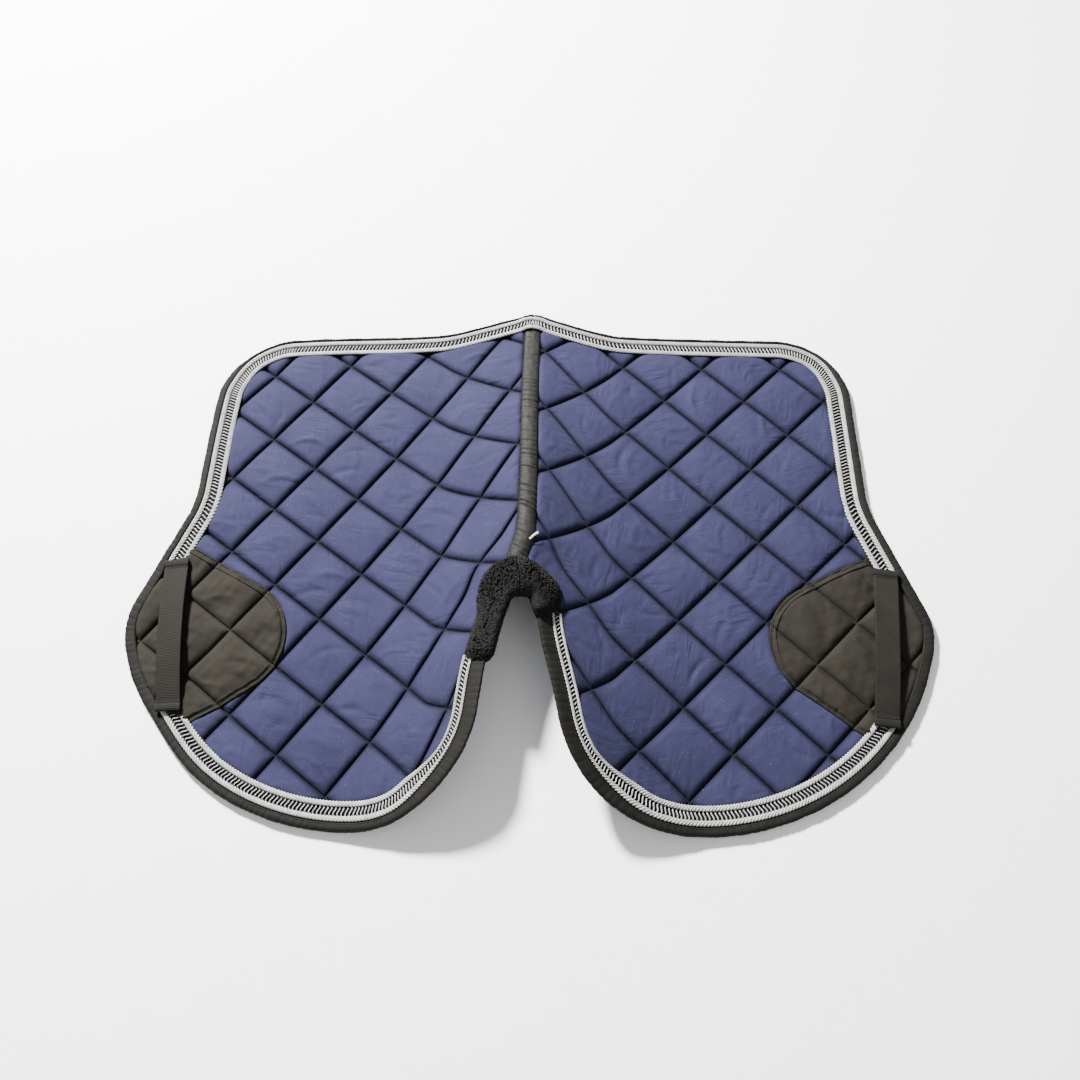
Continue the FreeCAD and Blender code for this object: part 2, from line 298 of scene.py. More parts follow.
def placed(sign, x, y, height):
    """Points in metres for flat points on one panel, at a height above the base surface."""
    z = base_height(x, y) + height
    across, along = laid(sign * np.asarray(x, float), np.asarray(y, float))
    return stacked(across, along, z) * MM


# ---- irregularities ----


def waves(points, length, seed, count=7):
    """A smooth random field over points, mostly from -1 to 1, whose waves are about length long."""
    chance = np.random.default_rng(seed)
    total = 0
    for _ in range(count):
        direction = chance.normal(size=points.shape[-1])
        direction *= math.tau / (length * chance.uniform(0.7, 1.5)) / np.linalg.norm(direction)
        total = total + np.sin(points @ direction + chance.uniform(0, math.tau))
    return total / math.sqrt(count) / 1.6


def creases(along, pitch, sharp, seed):
    """Narrow folds across a strip, about pitch apart and of uneven depth, from 0 between them up to 1."""
    chance = np.random.default_rng(seed)
    strengths = chance.uniform(0.15, 1.0, 400)
    phase = along / pitch + 0.35 * np.sin(along / (2.4 * pitch)) + 0.2 * np.sin(along / (1.3 * pitch) + seed)
    number = np.round(phase).astype(int)
    return np.exp(-(((phase - number) / sharp) ** 2)) * strengths[number % 400]


# ---- the quilting ----


DRIFT_MOST = 51.0  # how far the squares are drawn back beside the tape, at the middle of the pad's length
DRIFT_FALL = 0.103  # less of it for each millimetre towards the rear
DRIFT_REACH = 108.0


def drift(x, y):
    """How far the squares are drawn towards the rear beside the spine, where the cover is sewn down."""
    return (DRIFT_MOST - DRIFT_FALL * y) * np.clip(1 - x / DRIFT_REACH, 0, 1) ** 1.25


def cloth(x, y):
    """A flat point's place on the cloth: the slope up to the ridge is laid out flat, and the drift undone."""
    reach = np.clip(1 - np.asarray(x) / RIDGE_REACH, 0, 1)
    return x - 2 * ridge(y) ** 2 / (3 * RIDGE_REACH) * reach**3, y - drift(x, y)


def flat(across, along):
    """The flat point of a place on the cloth, found by steps."""
    x, y = across, along
    for _ in range(25):
        cloth_x, cloth_y = cloth(x, y)
        x = x + 0.8 * (across - cloth_x)
        y = y + 0.8 * (along - cloth_y)
    return x, y


def net_lie(side):
    """How one panel's squares lie on the cloth: their angle in radians, and the x and y of a crossing."""
    return math.radians(45 + QUILT_TURN[side]), *QUILT_ORIGIN[side]


def squares(side, x, y):
    """Where flat points are in one panel's net of squares: whole numbers are on its seams."""
    turn, ox, oy = net_lie(side)
    cloth_x, cloth_y = cloth(x, y)
    across, along = cloth_x - ox, cloth_y - oy
    a = (across * math.cos(turn) + along * math.sin(turn)) / QUILT_SQUARE
    b = (along * math.cos(turn) - across * math.sin(turn)) / QUILT_SQUARE
    return a, b


def from_squares(side, a, b):
    turn, ox, oy = net_lie(side)
    along = oy + QUILT_SQUARE * (a * math.sin(turn) + b * math.cos(turn))
    across = ox + QUILT_SQUARE * (a * math.cos(turn) - b * math.sin(turn))
    return flat(across, along)


def from_seams(a, b):
    return np.abs(a - np.round(a)) * QUILT_SQUARE, np.abs(b - np.round(b)) * QUILT_SQUARE


def within(a, b):
    """The row and column in a table of the square that a place is in, and its place there, -0.5 to 0.5."""
    row, column = np.floor(a), np.floor(b)
    return row.astype(int) + NET // 2, column.astype(int) + NET // 2, a - row - 0.5, b - column - 0.5


def swell(distance, reach=9.5, crown=0.42):
    """The rise of the cloth from a seam: steep beside it and nearly flat on top, from 0 to 1."""
    side = 1 - (1 - np.clip(distance / reach, 0, 1)) ** 2.3
    top = 1 - (1 - np.clip(distance / (QUILT_SQUARE / 2), 0, 1)) ** 2
    return (1 - crown) * side + crown * top


STITCH_LEVEL = 3.6
PUFF_TOP = 10.9
UNDERSIDE = 2.6  # where the cover and its wadding end, just above the lining
NET = 40  # squares each way in a table of random values, which starts at square -NET / 2
NET_ROWS, NET_COLUMNS = range(-9, 3), range(-8, 9)  # the squares that reach over a panel
NET_LINES = 38  # mesh lines across a square
WRINKLES = 5  # on each square


def sewn_distance(x, y):
    """Distance from what holds the cover down: the spine tape, and the trim or, at the girth, the binding."""
    depth, run = pad_edge.nearest(x, y)
    girth = smooth((TRIM_REAR_END_Y + 6 - y) / 12) * smooth((y - TRIM_FLAP_START_Y + 6) / 12)
    girth = girth * (x > RIDGE_REACH)
    held = binding_width(run) - 4 + (trim_scale(run) * TRIM_WIDTH - 3) * (1 - girth)
    return np.minimum(depth - held, x - 9)


def wrinkles(side, a, b):
    """Soft folds on each square's top, running across near the ground and down the slope near the ridge."""
    chance = np.random.default_rng(7 if side == "left" else 11)
    turn, _, _ = net_lie(side)
    centre = chance.uniform(-20, 20, (NET, NET, WRINKLES, 2))
    lean = chance.normal(1.45 if side == "left" else 0.15, 0.35, (NET, NET, WRINKLES))
    upright = chance.random((NET, NET, WRINKLES)) < 0.3
    lean = np.where(upright, lean + 1.2, lean)
    width = chance.uniform(1.6, 4.2, (NET, NET, WRINKLES))
    length = chance.uniform(9, 26, (NET, NET, WRINKLES))
    height = chance.normal(0, 1.15, (NET, NET, WRINKLES))
    i, j, p, q = within(a, b)
    across = p * QUILT_SQUARE * math.cos(turn) - q * QUILT_SQUARE * math.sin(turn)
    along = p * QUILT_SQUARE * math.sin(turn) + q * QUILT_SQUARE * math.cos(turn)
    total = 0
    for k in range(WRINKLES):
        dx = across - centre[i, j, k, 0]
        dy = along - centre[i, j, k, 1]
        angle = lean[i, j, k]
        down = dx * np.cos(angle) + dy * np.sin(angle)
        off = dy * np.cos(angle) - dx * np.sin(angle) + 0.012 * down**2
        fold = np.exp(-((off / width[i, j, k]) ** 2) - (down / length[i, j, k]) ** 2)
        total = total + height[i, j, k] * fold
    return total


def puffs(side, x, y):
    """Height of the quilted cover above the base surface, and its rise from the seams from 0 to 1."""
    a, b = squares(side, x, y)
    from_a, from_b = from_seams(a, b)
    held = swell(sewn_distance(x, y), reach=9.0, crown=0)
    patch = swell(np.abs(patch_edge.nearest(x, y)[0] - 2.0) + 1.5, reach=9.0, crown=0)
    rise = swell(from_a) * swell(from_b) * held * patch
    chance = np.random.default_rng(3 if side == "left" else 5)
    fullness = chance.uniform(0.9, 1.08, (NET, NET))
    tilt = chance.uniform(-0.9, 0.9, (NET, NET, 2))
    i, j, p, q = within(a, b)
    lean = tilt[i, j, 0] * p + tilt[i, j, 1] * q
    pucker_a = np.exp(-from_a / 7) * np.sin(b * QUILT_SQUARE / 1.7 + 2.5 * np.sin(b * 9 + np.round(a)))
    pucker_b = np.exp(-from_b / 7) * np.sin(a * QUILT_SQUARE / 1.7 + 2.5 * np.sin(a * 9 + np.round(b)))
    fine = waves(stacked(x, y), 14, 31) * 0.22 + 0.28 * (pucker_a + pucker_b)
    height = STITCH_LEVEL + (PUFF_TOP - STITCH_LEVEL) * rise * (fullness[i, j] + 0.1 * lean)
    height = height + rise * (wrinkles(side, a, b) + fine)
    groove = np.exp(-((np.minimum(from_a, from_b) / 1.2) ** 2))
    return height - 1.3 * groove, rise


def net_mesh(side, keep):
    """Flat points and faces of the net over one panel where keep(x, y) is true, with lines on its seams."""
    t = np.linspace(0, 1, NET_LINES + 1)
    shares = (t - 0.11 * np.sin(math.tau * t))[:-1]  # the mesh's lines are closer together beside the seams
    a = np.concatenate([shares + whole for whole in NET_ROWS])
    b = np.concatenate([shares + whole for whole in NET_COLUMNS])
    grid_a, grid_b = np.meshgrid(a, b, indexing="ij")
    x, y = from_squares(side, grid_a, grid_b)
    near = (x > 0) & (x < 520) & (np.abs(y) < 370)
    kept = np.zeros(x.shape, bool)
    kept[near] = keep(x[near], y[near])
    faces = grid_faces(*x.shape)
    faces = faces[kept.ravel()[faces].all(1)]
    used, numbers = np.unique(faces, return_inverse=True)
    return x.ravel()[used], y.ravel()[used], numbers.reshape(faces.shape)


# ---- meshes ----


def grid_faces(rows, columns, wrap=False):
    r, c = np.meshgrid(np.arange(rows - 1), np.arange(columns if wrap else columns - 1), indexing="ij")
    here, onward = r * columns, (r + 1) * columns
    c2 = (c + 1) % columns
    return np.stack([here + c, onward + c, onward + c2, here + c2], -1).reshape(-1, 4)


def tube_faces(count, rings, around):
    """The sides and both ends of tubes, whose points are numbered by tube, then ring, then place round it."""
    start = np.arange(count)[:, None] * rings * around
    ring = np.arange(around)
    sides = grid_faces(rings, around, wrap=True) + start[..., None]
    far = ring + start + (rings - 1) * around
    return [*sides.reshape(-1, 4).tolist(), *(ring[::-1] + start).tolist(), *far.tolist()]


def piece(name, points, faces, uv, material, sign=1):
    """A smooth mesh object. uv is in millimetres across the cloth, and sign -1 turns the faces round."""
    faces = [list(face) for face in faces] if sign > 0 else [list(face)[::-1] for face in faces]
    mesh = bpy.data.meshes.new(name)
    mesh.from_pydata(np.reshape(points, (-1, 3)).tolist(), [], faces)
    mesh.polygons.foreach_set("use_smooth", [True] * len(mesh.polygons))
    corner = np.zeros(len(mesh.loops), int)
    mesh.loops.foreach_get("vertex_index", corner)
    layer = mesh.uv_layers.new(name="cloth")
    layer.data.foreach_set("uv", (np.reshape(uv, (-1, 2))[corner] * MM).ravel())
    mesh.materials.append(material)
    mesh.update()
    made = bpy.data.objects.new(name, mesh)
    bpy.context.scene.collection.objects.link(made)
    return made


def closed_sheet(name, top, bottom, faces, uv, material, sign):
    """A closed piece between two surfaces with the same faces, walled round its border."""
    count = len(top)
    edges = np.concatenate([faces[:, [k, (k + 1) % 4]] for k in range(4)])
    _, index, times = np.unique(np.sort(edges, 1), axis=0, return_index=True, return_counts=True)
    border = edges[index[times == 1]]
    walls = np.stack([border[:, 1], border[:, 0], border[:, 0] + count, border[:, 1] + count], 1)
    every = np.vstack([faces, faces[:, ::-1] + count, walls])
    return piece(name, np.vstack([top, bottom]), every, np.vstack([uv, uv]), material, sign)


def tubes(name, points, uv, material, sign):
    """One piece of many closed tubes: points is (tubes, rings, places round a ring, 3)."""
    return piece(name, points, tube_faces(*points.shape[:3]), uv, material, -sign)


def strip(name, points, uv, material, sign):
    """A closed strip: points is (rows, places round its cross-section, 3)."""
    return piece(name, points, tube_faces(1, *points.shape[:2]), uv, material, sign)


def round_tubes(name, middle, radius, around, material):
    """Thin tubes round middle lines that are level or nearly so. middle is (tubes, rings, 3)."""
    chord = middle[:, -1] - middle[:, 0]
    aside = np.cross(unit(chord), (0, 0, 1))
    up = unit(np.cross(aside, chord))
    turn = circle(around)
    ring = aside[:, None] * np.cos(turn)[:, None] + up[:, None] * np.sin(turn)[:, None]
    points = middle[:, :, None] + radius * MM * ring[:, None]
    along = np.linspace(0, 3, middle.shape[1])
    uv = stacked(along[None, :, None], turn)
    return tubes(name, points, np.broadcast_to(uv, points.shape[:3] + (2,)), material, 1)


def swept(name, sign, run, depth, height, material, edge=None):
    """A strip along an edge: run is (rows), depth and height are (rows, places round its cross-section)."""
    runs = np.broadcast_to(run[:, None], depth.shape)
    x, y = (edge or pad_edge).at(runs, depth)
    girth = np.hypot(np.diff(depth, axis=1), np.diff(height, axis=1))
    around = np.concatenate([np.zeros((len(run), 1)), np.cumsum(girth, 1)], 1)
    return strip(name, placed(sign, x, y, height), stacked(runs, around), material, -sign)


def shade_by(made, name, values):
    """Gives each point a value that the piece's material reads by name."""
    made.data.attributes.new(name, "FLOAT", "POINT").data.foreach_set("value", values.astype(np.float32))


def profile(run, points):
    """A cross-section of (depth, height) points, each a number or a value at every place in run."""
    depth = np.stack([np.broadcast_to(np.asarray(d, float), run.shape) for d, h in points], 1)
    height = np.stack([np.broadcast_to(np.asarray(h, float), run.shape) for d, h in points], 1)
    return depth.copy(), height.copy()


# ---- how pieces move ----


def on_panel(made, side, slot, *nodes):
    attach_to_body(made, f"{side}_panel")
    return finished(made, slot, nodes)


def on_spine(made, slot, *nodes):
    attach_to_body(made, "spine")
    return finished(made, slot, nodes)


def across_fold(made, side, slot, *nodes):
    """Cloth that starts on the spine and goes on over the fold line: its placement is baked into its mesh,
    and the CAD nodes it stands for are hidden.
    """
    sign = SIDES[side]
    start, end = (sign * BLEND_START * MM, 0, 0), (sign * BLEND_END * MM, 0, 0)
    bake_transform(made)
    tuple(start)
    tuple(end)
    return finished(made, slot, nodes)


def finished(made, slot, nodes):
    if nodes:
        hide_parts(*nodes)
    return made


# ---- materials ----


WAVE_SCALE = math.tau / 20  # the wave node's own scale for bands a metre apart


class Nodes:
    """A material's node tree, with a short way to add a node."""

    def __init__(self, name):
        self.material = bpy.data.materials.new(name)
        self.material.use_nodes = True
        self.tree = self.material.node_tree
        self.shader = self.tree.nodes["Principled BSDF"]
        self.cloth = self.add("ShaderNodeUVMap", uv_map="cloth").outputs[0]
        self.place = self.add("ShaderNodeTexCoord").outputs["Object"]

    def add(self, kind, inputs=None, **settings):
        made = self.tree.nodes.new(kind)
        for key, value in settings.items():
            setattr(made, key, value)
        for key, value in (inputs or {}).items():
            self.plug(value, made.inputs[key])
        return made

    def plug(self, value, socket):
        if isinstance(value, bpy.types.NodeSocket):
            self.tree.links.new(value, socket)
        else:
            socket.default_value = (*value, 1) if socket.type == "RGBA" else value

    def mapped(self, vector, **settings):
        return self.add("ShaderNodeMapping", {"Vector": vector, **settings}).outputs[0]

    def noise(self, size, detail=3.0, vector=None, rough=0.5):
        """Noise from 0 to 1 whose features are about size millimetres."""
        inputs = {"Vector": vector or self.cloth, "Scale": 1 / (size * MM)}
        inputs |= {"Detail": detail, "Roughness": rough}
        return self.add("ShaderNodeTexNoise", inputs).outputs["Fac"]

    def threads(self, pitch, axis="X", turn=0.0, distortion=0.6):
        """Parallel ridges pitch millimetres apart across the cloth, turned by an angle."""
        inputs = {"Vector": self.mapped(self.cloth, Rotation=(0, 0, math.radians(turn)))}
        inputs |= {"Scale": WAVE_SCALE / (pitch * MM), "Distortion": distortion, "Detail Scale": 2.0}
        return self.add("ShaderNodeTexWave", inputs, bands_direction=axis).outputs["Fac"]

    def streaks(self, width, length, turn):
        """Soft folds, width and length millimetres, lying at an angle from the cloth's X."""
        turned = self.mapped(self.cloth, Rotation=(0, 0, math.radians(-turn)))
        shaped = self.mapped(turned, Scale=(1 / (length * MM), 1 / (width * MM), 1))
        inputs = {"Vector": shaped, "Scale": 1.0, "Detail": 1.0, "Distortion": 0.35}
        return self.add("ShaderNodeTexNoise", inputs).outputs["Fac"]

    def math(self, operation, a, b):
        return self.add("ShaderNodeMath", {0: a, 1: b}, operation=operation).outputs[0]

    def spread(self, value, low, high):
        """A noise's usual range, 0.3 to 0.7, spread from low to high."""
        inputs = {"Value": value, "From Min": 0.3, "From Max": 0.7, "To Min": low, "To Max": high}
        return self.add("ShaderNodeMapRange", inputs).outputs[0]

    def colours(self, value, stops):
        """A colour from a value, by a ramp of (place, (red, green, blue)) stops."""
        made = self.add("ShaderNodeValToRGB", {"Fac": value})
        ramp = made.color_ramp
        while len(ramp.elements) < len(stops):
            ramp.elements.new(0.5)
        for element, (place, colour) in zip(ramp.elements, stops):
            element.position = place
            element.color = (*colour, 1)
        return made.outputs["Color"]

    def mixed(self, share, first, second, kind="MIX"):
        made = self.add("ShaderNodeMix", data_type="RGBA", blend_type=kind)
        for socket, value in zip((made.inputs[0], made.inputs[6], made.inputs[7]), (share, first, second)):
            self.plug(value, socket)
        return made.outputs[2]

    def greys(self, value, *stops):
        return self.colours(value, [(place, (grey, grey, grey)) for place, grey in stops])

    def shaded(self, colour, share, value, *stops):
        """A colour made darker or lighter by a share of a grey ramp."""
        return self.mixed(share, colour, self.greys(value, *stops), "MULTIPLY")

    def attribute(self, name):
        return self.add("ShaderNodeAttribute", attribute_name=name).outputs["Fac"]

    def weave(self, pitch):
        return self.math("MULTIPLY", self.threads(pitch), self.threads(pitch, axis="Y"))

    def bump(self, height, distance, strength=1.0, onto=None):
        inputs = {"Height": height, "Distance": distance * MM, "Strength": strength}
        if onto is not None:
            inputs["Normal"] = onto
        return self.add("ShaderNodeBump", inputs).outputs[0]

    def finish(self, colour, roughness, normal, sheen=0.0, sheen_roughness=0.5, tint=(1, 1, 1), specular=0.5):
        values = {"Base Color": colour, "Roughness": roughness, "Normal": normal, "Sheen Weight": sheen}
        values |= {"Sheen Roughness": sheen_roughness, "Sheen Tint": tint, "Specular IOR Level": specular}
        for socket, value in values.items():
            self.plug(value, self.shader.inputs[socket])
        return self.material


def tinted(colour, factor):
    return tuple(channel * factor for channel in colour)


def woven(name, colour, pitch, roughness, specular, twill=0.0, depth=0.16, sheen=0.0, tint=(1, 1, 1)):
    """Plain or twill cloth: crossing threads, uneven dyeing and lint."""
    nodes = Nodes(name)
    warp = nodes.threads(pitch, turn=twill)
    weft = nodes.threads(pitch * (1.0 if twill == 0 else 2.1), axis="Y", turn=twill)
    weave = nodes.math("MULTIPLY", warp, weft) if twill == 0 else nodes.math("ADD", warp, weft)
    broad = nodes.noise(38, 4)
    fine = nodes.noise(1.6, 2, rough=0.7)
    dyed = nodes.colours(broad, [(0.3, tinted(colour, 0.82)), (0.7, tinted(colour, 1.18))])
    threaded = nodes.shaded(dyed, 0.35, weave, (0, 0.55), (1, 1.25))
    lint = nodes.shaded(threaded, 0.3, fine, (0.35, 0.7), (0.75, 1.5))
    normal = nodes.bump(weave, depth, 0.5)
    normal = nodes.bump(fine, 0.25, 0.35, normal)
    return nodes.finish(lint, nodes.spread(broad, *roughness), normal, sheen, 0.45, tint, specular)


def cotton_cover():
    """Navy cotton, unevenly dyed and flecked with lint, with painted shade that darkens it towards the seams.
    """
    nodes = Nodes("navy_quilted_cotton")
    weave = nodes.weave(0.62)
    broad = nodes.noise(60, 4, rough=0.6)
    slub = nodes.noise(3.0, 3, rough=0.7)
    dyed = nodes.colours(broad, [(0.3, NAVY_DEEP), (0.72, NAVY)])
    # painted shade: where the cloth's rise from the seams is low, its colour goes to a dark navy
    raised = {"Value": nodes.attribute("rise"), "From Min": 0.1, "From Max": 0.7}
    clear_of_seam_shade = nodes.add("ShaderNodeMapRange", raised).outputs[0]
    seam_shaded = nodes.mixed(clear_of_seam_shade, tinted(NAVY_DEEP, 0.3), dyed)
    threaded = nodes.shaded(seam_shaded, 0.4, weave, (0, 0.6), (1, 1.3))
    cloth = nodes.shaded(threaded, 0.35, slub, (0.3, 0.75), (0.75, 1.3))
    specks = nodes.greys(nodes.noise(2.2, 0, rough=0.2), (0.775, 0), (0.80, 1))
    cloth = nodes.mixed(nodes.math("MULTIPLY", specks, 0.05), cloth, LINT)
    where = nodes.greys(nodes.noise(75, 1), (0.46, 0), (0.54, 1))
    folds = nodes.mixed(where, nodes.streaks(8, 40, 12), nodes.streaks(8, 40, 78))
    often = nodes.greys(nodes.noise(34, 1, vector=nodes.place), (0.42, 0.12), (0.62, 1))
    folds = nodes.mixed(often, (0.5, 0.5, 0.5), folds)
    normal = nodes.bump(folds, 3.0, 0.6)
    normal = nodes.bump(nodes.noise(11, 3, rough=0.55), 0.8, 0.3, normal)
    normal = nodes.bump(weave, 0.14, 0.5, normal)
    normal = nodes.bump(slub, 0.3, 0.3, normal)
    rough = nodes.spread(slub, 0.72, 0.9)
    bloom = {"sheen": 0.02, "sheen_roughness": 0.4, "tint": (0.62, 0.64, 0.95)}
    return nodes.finish(cloth, rough, normal, specular=0.07, **bloom)


def cord_white():
    """Off-white cotton rope: fine fibres along each strand, with greyer dust in patches."""
    nodes = Nodes("white_rope_cord")
    fibres = nodes.threads(0.55, axis="Y", turn=18, distortion=2.0)
    dust = nodes.noise(9, 4, vector=nodes.place)
    colour = nodes.colours(dust, [(0.3, (0.24, 0.236, 0.228)), (0.6, (0.38, 0.376, 0.367))])
    colour = nodes.shaded(colour, 0.35, fibres, (0, 0.7), (1, 1.1))
    normal = nodes.bump(fibres, 0.2, 0.6)
    return nodes.finish(colour, nodes.spread(dust, 0.75, 0.9), normal, sheen=0.2, specular=0.3)


def shade_black_ground():
    nodes = Nodes("black_braid_ground_painted_shade")
    weave = nodes.weave(0.8)
    # painted shade: near-black and barely shiny, for the shadowed gaps between the binding, the cords and the
    # rungs; the tape itself is dark
    colour = nodes.colours(nodes.noise(6), [(0.3, (0.003, 0.003, 0.0035)), (0.7, (0.007, 0.007, 0.0075))])
    return nodes.finish(colour, nodes.spread(weave, 0.8, 0.95), nodes.bump(weave, 0.2, 0.5), specular=0.05)


def curly_black():
    """Black pile: each curl's tone differs. Painted shade makes the pile's body near-black and darkens each
    curl towards its ends, so its outer arc stands lighter, as if lit.
    """
    nodes = Nodes("black_curly_fleece")
    clump = nodes.noise(5, 4, vector=nodes.place, rough=0.7)
    strand = nodes.noise(0.7, 2, vector=nodes.place)
    curl = nodes.colours(clump, [(0.32, (0.0008, 0.0008, 0.0008)), (0.66, (0.015, 0.0142, 0.0132))])
    # painted shade and light: the tip share is 0 on the body and at the curls' ends, which go near-black, and
    # 1 on their outer arcs
    colour = nodes.mixed(nodes.attribute("tip"), (0.0002, 0.0002, 0.0002), curl)
    normal = nodes.bump(strand, 0.3, 0.8)
    return nodes.finish(colour, nodes.spread(strand, 0.7, 0.95), normal, specular=0.1)


def thread(name, colour):
    nodes = Nodes(name)
    twist = nodes.threads(0.5, turn=35)
    shades = nodes.colours(twist, [(0, tinted(colour, 0.5)), (1, tinted(colour, 1.3))])
    normal = nodes.bump(twist, 0.12, 0.8)
    return nodes.finish(shades, nodes.spread(nodes.noise(4), 0.5, 0.75), normal, specular=0.1)


NAVY = (0.0218, 0.0215, 0.0505)
NAVY_DEEP = (0.0160, 0.0159, 0.0385)
CHARCOAL = (0.0084, 0.0077, 0.0064)
OLIVE = (0.0128, 0.0114, 0.0086)
LINT = (0.42, 0.40, 0.38)

cover_cotton = cotton_cover()
lining_cotton = woven(
    "dark_brushed_lining", (0.026, 0.027, 0.036), 0.8, (0.8, 0.95), 0.4, sheen=0.15, tint=(0.5, 0.5, 0.6)
)
binding_tape = woven("charcoal_binding_tape", CHARCOAL, 0.55, (0.6, 0.75), 0.06)
patch_twill = woven("charcoal_patch_twill", OLIVE, 0.7, (0.62, 0.8), 0.06, twill=32, depth=0.3)
hem_twill = woven("charcoal_patch_hem", tinted(OLIVE, 0.9), 0.6, (0.6, 0.75), 0.06, twill=58)
webbing = woven("ribbed_charcoal_webbing", (0.0130, 0.0120, 0.0100), 0.9, (0.7, 0.85), 0.05)
spine_cloth = woven("charcoal_spine_tape", tinted(CHARCOAL, 1.1), 0.6, (0.5, 0.65), 0.1)
white_rope = cord_white()
braid_ground = shade_black_ground()
fleece_pile = curly_black()
dark_thread = thread("dark_sewing_thread", (0.014, 0.013, 0.012))
navy_thread = thread("navy_quilting_thread", (0.0016, 0.0017, 0.004))
label_white = thread("white_label_tape", (0.6, 0.6, 0.59))


# ---- quilted panels ----


def quilted_panel(side):
    """The cover over its wadding: one closed form, down to just above the lining."""
    sign = SIDES[side]

    def keep(x, y):
        depth, run = pad_edge.nearest(x, y)
        under_patch = patch_edge.nearest(x, y)[0] > 5
        return (depth > binding_width(run) + 8) & (x > 8.5) & ~under_patch

    x, y, faces = net_mesh(side, keep)
    height, rise = puffs(side, x, y)
    top = placed(sign, x, y, height)
    bottom = placed(sign, x, y, np.minimum(UNDERSIDE, height - 0.8))
    uv = stacked(*cloth(x, y))
    made = closed_sheet(f"{side}_quilted_panel", top, bottom, faces, uv, cover_cotton, sign)
    # the rise drives the painted shade towards the seams; the underside gets 0 and is fully shaded
    shade_by(made, "rise", np.concatenate([rise, rise * 0]))
    across_fold(made, side, "quilted_cotton", f"{side}_quilted_cover", f"{side}_wadding")
    return made


def quilting(side):
    """The sewn lines: a short stitch of thread every few millimetres along both sets of seams."""
    sign = SIDES[side]
    pitch, stitch = 4.2, 2.9
    starts = np.arange(-9 * QUILT_SQUARE, 9 * QUILT_SQUARE, pitch) / QUILT_SQUARE
    seams = np.arange(-9, 8)
    along, seam = np.meshgrid(starts, seams, indexing="ij")
    t = np.linspace(0, 1, 4) * stitch / QUILT_SQUARE
    line = along.ravel()[:, None] + t
    fixed = np.broadcast_to(seam.ravel()[:, None], line.shape)
    a = np.vstack([line, fixed])
    b = np.vstack([fixed, line])
    x, y = from_squares(side, a, b)
    depth, run = pad_edge.nearest(x, y)
    inside = (depth > binding_width(run) + trim_scale(run) * TRIM_WIDTH) & (patch_edge.nearest(x, y)[0] < 0)
    inside &= (x > TAPE_HALF_WIDTH) & ((x > 56) | (y > -46))  # not under the tape or the fleece
    kept = inside.all(1)
    x, y = x[kept], y[kept]
    height, _ = puffs(side, x, y)
    dip = np.array([-0.7, -0.1, -0.1, -0.7])
    middle = placed(sign, x, y, height + dip)
    made = round_tubes(f"{side}_quilting_stitches", middle, 0.34, 5, navy_thread)
    return across_fold(made, side, "quilting_thread", f"{side}_quilting_thread")


def lining(side):
    """The underside's cloth, which is drawn up at each quilted seam and lies flat between them."""
    sign = SIDES[side]

    def keep(x, y):
        return (pad_edge.nearest(x, y)[0] > 4.5) & (x > 8.5)

    x, y, faces = net_mesh(side, keep)
    a, b = squares(side, x, y)
    from_a, from_b = from_seams(a, b)
    held = swell(pad_edge.nearest(x, y)[0] - 9, reach=14.0)
    drawn = 1 - swell(from_a) * swell(from_b) * held
    drawn = 0.05 + 1.3 * drawn + 0.12 * np.abs(waves(stacked(x, y), 18, 77))
    low = placed(sign, x, y, drawn)
    high = placed(sign, x, y, drawn + 0.6)
    uv = stacked(*cloth(x, y))
    made = closed_sheet(f"{side}_lining_cloth", high, low, faces, uv, lining_cotton, sign)
    across_fold(made, side, "lining", f"{side}_lining")
    return made


# ---- binding and trim ----


BINDING_LIFT = 1.6  # how much higher the binding stands where it crosses the spine tape


def over_spine(run, depth=0):
    """1 where the pad's edge crosses the spine, and 0 away from it."""
    return smooth(1 - (pad_edge.at(run, depth)[0] - 8) / 14)


def edge_binding(side):
    """The tape folded over the pad's edge, puckered where it turns, from the rear peak round to the notch."""
    sign = SIDES[side]
    run = np.linspace(REAR_PEAK, NOTCH_TOP, 1500)
    width = binding_width(run)
    lift = BINDING_LIFT * over_spine(run)
    over = [
        (width, 7.6), (width, 8.9 + lift), (width - 0.7, 9.7 + lift), (width - 2.2, 10.1 + lift),
        (width * 0.6, 10.5 + lift), (width * 0.35, 10.4 + lift), (1.6, 9.9 + lift), (0.7, 9.0), (0.15, 7.8),
        (-0.15, 6.4), (-0.25, 5.0), (-0.2, 3.6), (0.0, 2.3), (0.5, 1.2), (1.4, 0.5), (3.0, 0.2),
        (6.0, 0.1), (8.6, 0.1), (9.7, 0.35), (10.0, 0.8),
    ]
    inner = [(9.5, 1.3), (5.0, 1.5), (2.6, 2.4), (1.9, 5.0), (2.6, 7.0), (width - 1.2, 7.2)]
    depth, height = profile(run, over + inner)
    seed = 40 if side == "left" else 41
    around = np.arange(depth.shape[1])
    fold = creases(run[:, None] + 0.35 * around * np.sin(run[:, None] / 61), 8.5, 0.17, seed)
    body = np.clip(np.minimum(around, len(over) - 1 - around) / 4, 0, 1)
    bulge = 0.35 * waves(stacked(run, run * 0.3), 26, seed)[:, None] * body
    draw = body * fold * 0.5 - bulge
    outward_d = -np.gradient(height, axis=1)
    outward_h = np.gradient(depth, axis=1)
    size = np.hypot(outward_d, outward_h) + 1e-9
    outside = around < len(over)
    depth += np.where(outside, outward_d / size * draw, 0)
    height += np.where(outside, outward_h / size * draw, 0)
    height = np.maximum(height, 0.02)
    made = swept(f"{side}_binding", sign, run, depth, height, binding_tape)
    return across_fold(made, side, "binding", f"{side}_edge_binding", "spine_edge_binding")


